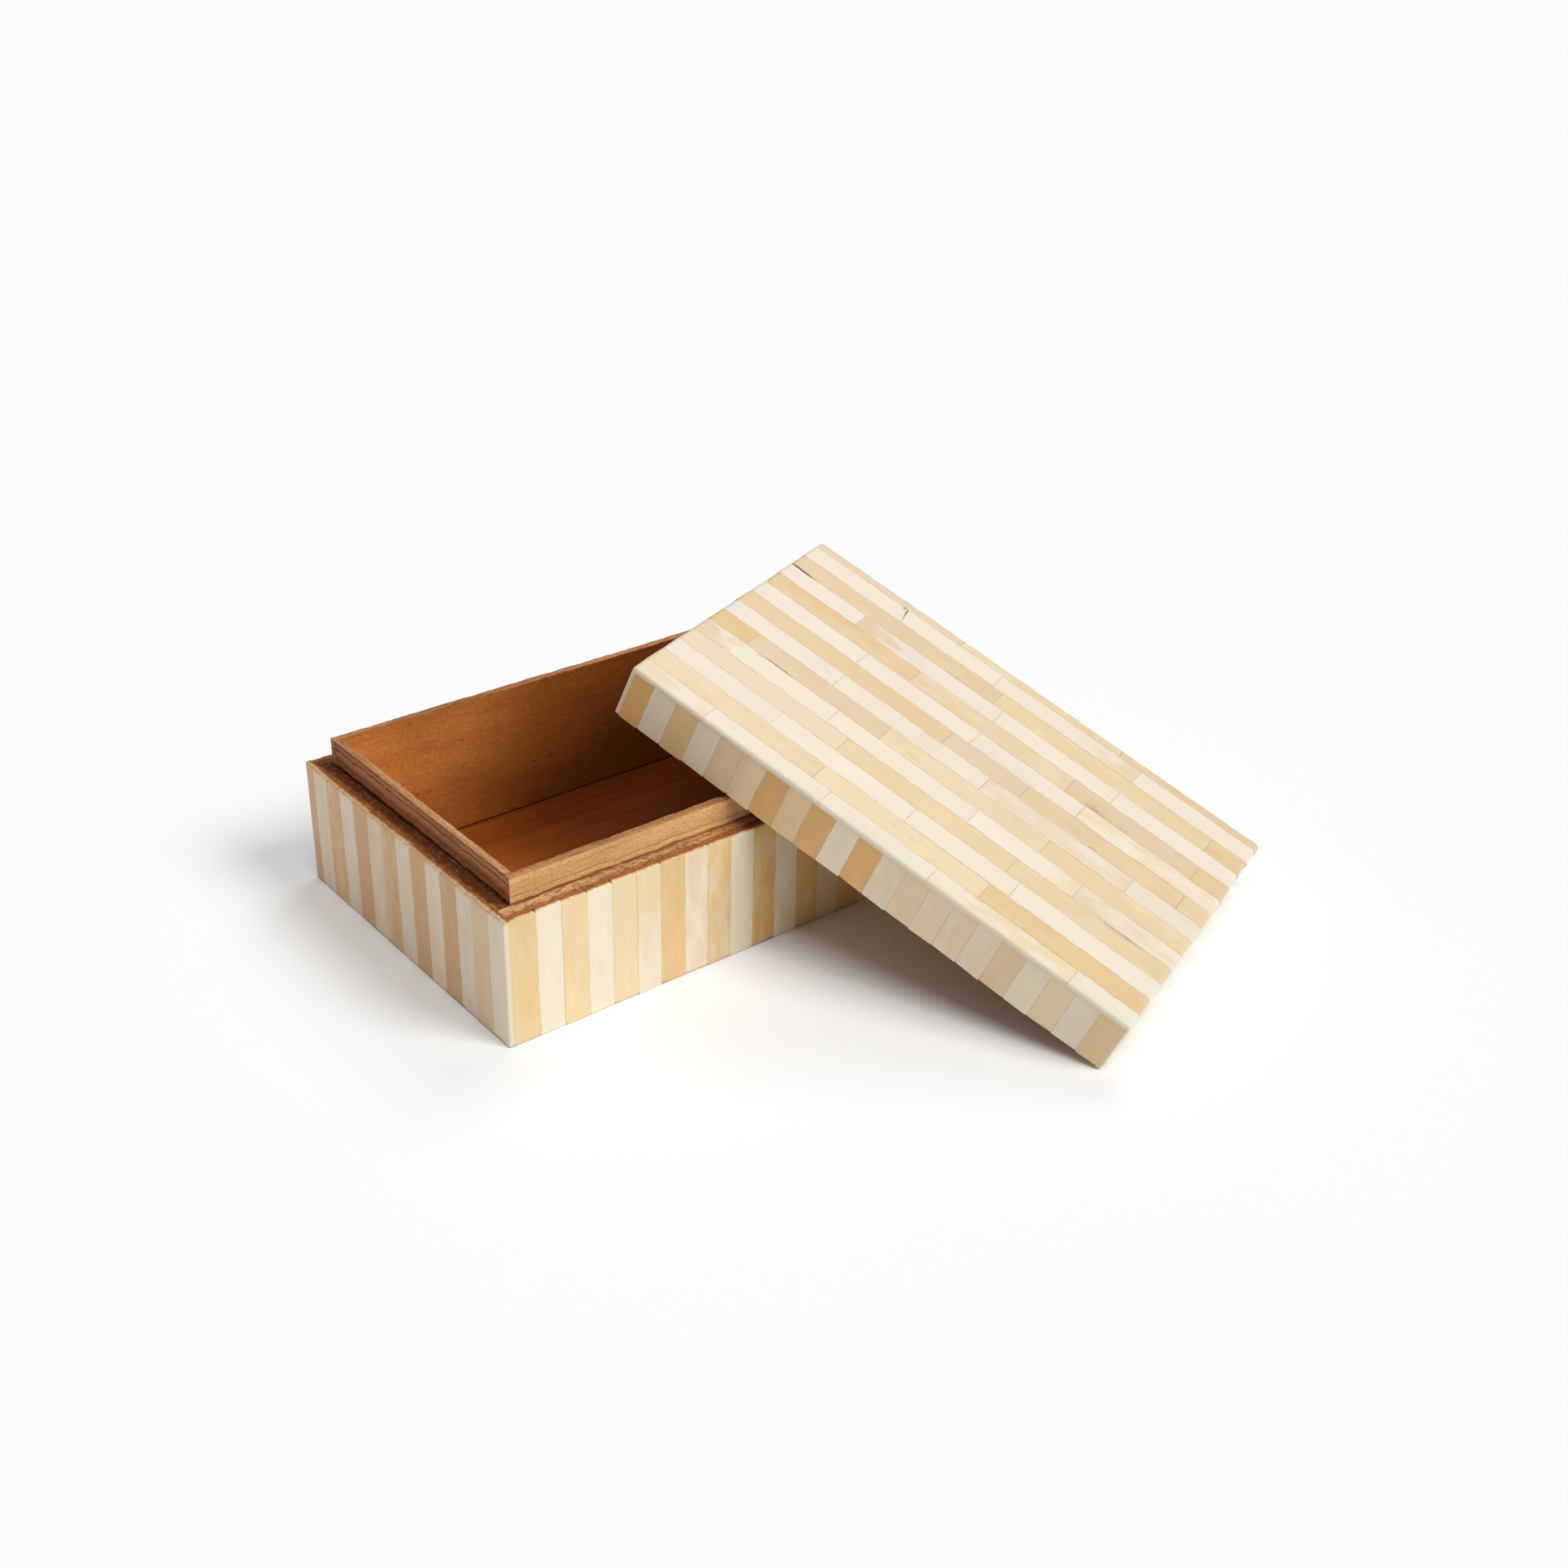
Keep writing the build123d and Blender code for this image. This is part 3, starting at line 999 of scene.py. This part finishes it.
# Small marks in bone and in wood (linear)
BONE_PORE = (0.35, 0.22, 0.11, 1)
SEAM_BROWN = (0.50, 0.34, 0.17, 1)
RIM_AMBER = (0.66, 0.42, 0.17, 1)
RIM_BROWN = (0.34, 0.12, 0.045, 1)
STAIN_BROWN = (0.20, 0.095, 0.035, 1)
WOOD_PORE = (0.10, 0.035, 0.012, 1)
WOOD_DENT = (0.09, 0.032, 0.012, 1)
WOOD_SCUFF = (0.62, 0.38, 0.20, 1)
WOOD_PIT = (0.15, 0.05, 0.017, 1)
FLOOR_TONES = ((0.965, 0.97, 0.975, 1), (0.975, 0.98, 0.985, 1))

# How much light bone and wood reflect at a glance
BONE_GLOSS = 0.42
WOOD_GLOSS = 0.08


class Shader:
    """A material, with short calls for the nodes that it is made of."""

    def __init__(self, name):
        self.material = bpy.data.materials.new(name)
        self.material.use_nodes = True
        self.tree = self.material.node_tree
        self.surface = self.tree.nodes["Principled BSDF"]

    def link(self, source, socket):
        """Feeds a socket from another one, or sets it to a value."""
        if isinstance(source, bpy.types.NodeSocket):
            self.tree.links.new(source, socket)
        else:
            socket.default_value = source

    def node(self, kind, inputs, output=0, **settings):
        """Adds a node and gives back one of its outputs."""
        made = self.tree.nodes.new(kind)
        for key, value in settings.items():
            setattr(made, key, value)
        for key, source in inputs.items():
            self.link(source, made.inputs[key])
        return made.outputs[output]

    def attribute(self, name, output="Fac"):
        return self.node("ShaderNodeAttribute", {}, output, attribute_name=name)

    def stretch(self, vector, scale):
        inputs = {0: vector, 1: scale}
        return self.node("ShaderNodeVectorMath", inputs, operation="MULTIPLY")

    def noise(self, vector, scale, detail=3.0, roughness=0.55):
        """Cloudy noise with `scale` lumps to the metre along, across and below."""
        inputs = {"Vector": self.stretch(vector, scale), "Scale": 1.0, "Detail": detail,
                  "Roughness": roughness}
        return self.node("ShaderNodeTexNoise", inputs)

    def between(self, value, low, high, to_low=0.0, to_high=1.0):
        """A value from low..high, spread over to_low..to_high and held there beyond."""
        inputs = {"Value": value, "From Min": low, "From Max": high, "To Min": to_low,
                  "To Max": to_high}
        return self.node("ShaderNodeMapRange", inputs, clamp=True)

    def math(self, operation, first, second, clamp=False):
        return self.node("ShaderNodeMath", {0: first, 1: second}, operation=operation,
                         use_clamp=clamp)

    def frayed(self, value, clouds, low, high):
        """A value made uneven by clouds, but left at nothing where it is nothing."""
        swing = self.math("MULTIPLY", self.between(clouds, 0.3, 0.7, low, high),
                          self.between(value, 0.0, 0.15))
        return self.math("ADD", value, swing)

    def mix(self, factor, first, second, blend_type="MIX"):
        inputs = {0: factor, 6: first, 7: second}
        return self.node("ShaderNodeMix", inputs, 2, data_type="RGBA", blend_type=blend_type)

    def bump(self, height, distance, strength=1.0, normal=None):
        inputs = {"Height": height, "Distance": distance, "Strength": strength}
        if normal:
            inputs["Normal"] = normal
        return self.node("ShaderNodeBump", inputs)

    def finish(self, colour, roughness, normal, specular):
        self.link(colour, self.surface.inputs["Base Color"])
        self.link(roughness, self.surface.inputs["Roughness"])
        self.link(normal, self.surface.inputs["Normal"])
        self.surface.inputs["Specular IOR Level"].default_value = specular
        return self.material


def bone_material():
    """Polished bone: clouds of a second tone, fine streaks along it, a few pores and stains."""
    shader = Shader("polished_bone")
    grain = shader.attribute("grain", "Vector")
    clouds = shader.noise(grain, (70, 190, 190), 3.0, 0.6)
    wisps = shader.noise(grain, (25, 420, 420), 2.0, 0.5)
    cover = shader.between(clouds, 0.30, 0.70, -0.55, 0.55)
    cover = shader.math("ADD", cover, shader.between(wisps, 0.35, 0.65, -0.07, 0.07))
    cover = shader.math("ADD", cover, shader.attribute("blend"))
    cover = shader.between(cover, 0.2, 0.8)
    colour = shader.mix(cover, shader.attribute("tone", "Color"), shader.attribute("tint", "Color"))

    streaks = shader.noise(grain, (40, 900, 900), 3.0, 0.6)
    light = shader.between(streaks, 0.3, 0.7, 0.985, 1.013)
    patches = shader.noise(grain, (28, 60, 60), 2.0, 0.5)
    light = shader.math("MULTIPLY", light, shader.between(patches, 0.3, 0.7, 0.97, 1.03))
    colour = shader.mix(1.0, colour, light, "MULTIPLY")

    pores = shader.noise(grain, (450, 2600, 2600), 1.0, 0.4)
    specks = shader.noise(grain, (160, 160, 160), 1.0, 0.5)
    pore = shader.between(pores, 0.66, 0.74)
    pore = shader.math("MULTIPLY", pore, shader.between(specks, 0.5, 0.7))
    colour = shader.mix(shader.math("MULTIPLY", pore, 0.04), colour, BONE_PORE)

    crumble = shader.noise(grain, (600, 600, 600), 2.0, 0.6)
    seam = shader.between(crumble, 0.3, 0.7, 0.08, 0.52)
    seam = shader.math("MULTIPLY", seam, shader.between(patches, 0.40, 0.62, 0.5, 1.9))
    seam = shader.math("MULTIPLY", seam, shader.attribute("seam"), clamp=True)
    colour = shader.mix(seam, colour, SEAM_BROWN)

    rim = shader.frayed(shader.attribute("rim"), crumble, -0.22, 0.16)
    colour = shader.mix(shader.between(rim, 0.02, 0.34, 0, 0.85), colour, RIM_AMBER)
    colour = shader.mix(shader.between(rim, 0.42, 0.72), colour, RIM_BROWN)

    stain = shader.frayed(shader.attribute("stain"), crumble, -0.12, 0.1)
    colour = shader.mix(shader.between(stain, 0.08, 0.75), colour, STAIN_BROWN)

    roughness = shader.between(clouds, 0.3, 0.7, 0.36, 0.48)
    normal = shader.bump(streaks, 0.00004, 0.4)
    normal = shader.bump(patches, 0.0004, 0.25, normal)
    return shader.finish(colour, roughness, normal, BONE_GLOSS)


def wood_material(name, polish, crumbly):
    """Stained softwood: streaky grain, fibres, pores and small dents, rougher where it is worn.

    `polish` is its least roughness, and `crumbly` how torn its worn faces are, from 0 to 1.
    """
    shader = Shader(name)
    grain = shader.attribute("grain", "Vector")
    wear = shader.attribute("wear")
    rings = shader.noise(grain, (7, 160, 110), 4.0, 0.6)
    fibres = shader.noise(grain, (60, 1500, 1500), 3.0, 0.6)
    lines = shader.between(rings, 0.38, 0.66)
    lines = shader.math("ADD", lines, shader.between(fibres, 0.35, 0.7, -0.2, 0.3), clamp=True)
    colour = shader.mix(lines, shader.attribute("tone", "Color"), shader.attribute("tint", "Color"))

    blotches = shader.noise(grain, (22, 45, 45), 3.0, 0.55)
    colour = shader.mix(1.0, colour, shader.between(blotches, 0.3, 0.7, 0.84, 1.14), "MULTIPLY")
    pores = shader.noise(grain, (120, 2200, 2200), 2.0, 0.5)
    pore = shader.between(pores, 0.6, 0.72, 0, 0.28)
    colour = shader.mix(pore, colour, WOOD_PORE)

    sand = shader.noise(grain, (800, 1000, 1000), 2.0, 0.6)
    colour = shader.mix(1.0, colour, shader.between(sand, 0.3, 0.7, 0.84, 1.14), "MULTIPLY")

    dents = shader.noise(grain, (210, 320, 320), 2.0, 0.5)
    dent = shader.between(dents, 0.68, 0.78)
    colour = shader.mix(shader.math("MULTIPLY", dent, 0.6), colour, WOOD_DENT)
    scuffs = shader.noise(grain, (260, 900, 900), 3.0, 0.7)
    scuff = shader.math("MULTIPLY", wear, shader.between(scuffs, 0.52, 0.72, 0, 0.4))
    colour = shader.mix(scuff, colour, WOOD_SCUFF)

    crumbs = shader.noise(grain, (420, 700, 700), 3.0, 0.65)
    pits = shader.math("MULTIPLY", wear, shader.between(crumbs, 0.38, 0.5, 0.6 * crumbly, 0))
    colour = shader.mix(pits, colour, WOOD_PIT)

    roughness = shader.between(fibres, 0.3, 0.7, polish, polish + 0.18)
    normal = shader.bump(fibres, 0.0001, 0.5)
    normal = shader.bump(crumbs, 0.0009 * crumbly, shader.math("MULTIPLY", wear, 0.8), normal)
    normal = shader.bump(dents, 0.0004, 0.3, normal)
    normal = shader.bump(scuffs, 0.0003, shader.math("MULTIPLY", wear, 0.6), normal)
    return shader.finish(colour, roughness, normal, WOOD_GLOSS)


def floor_material():
    """A smooth pale studio floor."""
    shader = Shader("studio_floor")
    place = shader.node("ShaderNodeTexCoord", {}, "Object")
    mottle = shader.noise(place, (3, 3, 3), 2.0, 0.5)
    colour = shader.mix(mottle, *FLOOR_TONES)
    return shader.finish(colour, 0.95, (0, 0, 0), 0.0)


# ---- the object


def build():
    """Every strip and board of the box and its lid."""
    bone = bone_material()
    rim_wood = wood_material("stained_liner_wood", 0.5, 0.35)
    rough_wood = wood_material("rough_carcass_wood", 0.68, 1.0)
    for body in ("base", "lid"):
        for side in UPRIGHT:
            upright_strips(body, side, bone)
    courses = [node for node in BODIES["lid"] if node.startswith("lid_course_")]
    corners = np.array([corner for node in courses for box in boxes_of(node, "lid") for corner in box])
    bounds = corners.min(axis=0)[:2], corners.max(axis=0)[:2]
    for node in courses:
        course(int(node.split("_")[2]), node, bounds, bone)
    for side in RIM:
        liner(side, rim_wood)
        wall(side, rough_wood)
        rail = f"lid_rail_{side}"
        plain_board(rail, FOOT[side], "lid", "lid", "lid_wood", RAIL_EASES, rough_wood, RAIL_STEP)
    plain_board("base_floor", COURSE, "base", "floor", "floor_wood", BOARD_EASES, rim_wood)
    plain_board("lid_panel", UNDER, "lid", "lid", "lid_wood", BOARD_EASES, rough_wood)


# ---- studio

# Camera: the point it looks at, how far off it is, how far round from the front of the box and how
# far up, its roll and its lens in millimetres
AIM = Vector((0.0485, -0.0203, 0.0280))
DISTANCE = 0.7255
AZIMUTH = math.radians(-39.61)
ELEVATION = math.radians(28.70)
ROLL = math.radians(1.46)
LENS = 44.96

FLOOR_HALF = 15.0
SKY_LIGHT = 0.20

# Soft lamps: name, degrees round from the front of the box towards its right, degrees up, strength
LAMPS = (
    ("front", -25, 70, 0.98),
    ("right", 28, 44, 1.75),
    ("side", 115, 50, 0.48),
)
LAMP_SPREAD = math.radians(26)


def studio_floor():
    corners = [(-1, -1), (1, -1), (1, 1), (-1, 1)]
    mesh = bpy.data.meshes.new("studio_floor")
    mesh.from_pydata([(x * FLOOR_HALF, y * FLOOR_HALF, 0) for x, y in corners], [], [(0, 1, 2, 3)])
    mesh.materials.append(floor_material())
    made = bpy.data.objects.new("studio_floor", mesh)
    bpy.context.scene.collection.objects.link(made)


def studio_light():
    """An even sky that looks plain white to the camera, and three soft lamps."""
    world = bpy.data.worlds.new("studio")
    world.use_nodes = True
    sky = world.node_tree
    background = sky.nodes["Background"]
    background.inputs["Color"].default_value = (1, 1, 1, 1)
    path = sky.nodes.new("ShaderNodeLightPath")
    shown = sky.nodes.new("ShaderNodeMix")
    shown.inputs[2].default_value = SKY_LIGHT
    shown.inputs[3].default_value = 1.0
    sky.links.new(path.outputs["Is Camera Ray"], shown.inputs[0])
    sky.links.new(shown.outputs[0], background.inputs["Strength"])
    bpy.context.scene.world = world

    for name, turn, height, strength in LAMPS:
        data = bpy.data.lights.new(name, "SUN")
        data.energy = strength
        data.angle = LAMP_SPREAD
        lamp = bpy.data.objects.new(name, data)
        bpy.context.scene.collection.objects.link(lamp)
        turn, height = math.radians(turn), math.radians(height)
        level = math.cos(height)
        source = Vector((math.sin(turn) * level, -math.cos(turn) * level, math.sin(height)))
        lamp.rotation_mode = "QUATERNION"
        lamp.rotation_quaternion = source.to_track_quat("Z", "Y")


def studio_camera():
    data = bpy.data.cameras.new("camera")
    data.lens = LENS
    data.clip_start, data.clip_end = 0.05, 100.0
    camera = bpy.data.objects.new("camera", data)
    bpy.context.scene.collection.objects.link(camera)
    level = math.cos(ELEVATION)
    back = Vector((math.sin(AZIMUTH) * level, -math.cos(AZIMUTH) * level, math.sin(ELEVATION)))
    right = Vector((0, 0, 1)).cross(back).normalized()
    turn = Matrix((right, back.cross(right), back)).transposed() @ Matrix.Rotation(ROLL, 3, "Z")
    camera.matrix_world = Matrix.Translation(AIM + back * DISTANCE) @ turn.to_4x4()
    bpy.context.scene.camera = camera


studio_camera()
studio_floor()
studio_light()
bpy.context.scene.view_settings.view_transform = "Standard"
build()
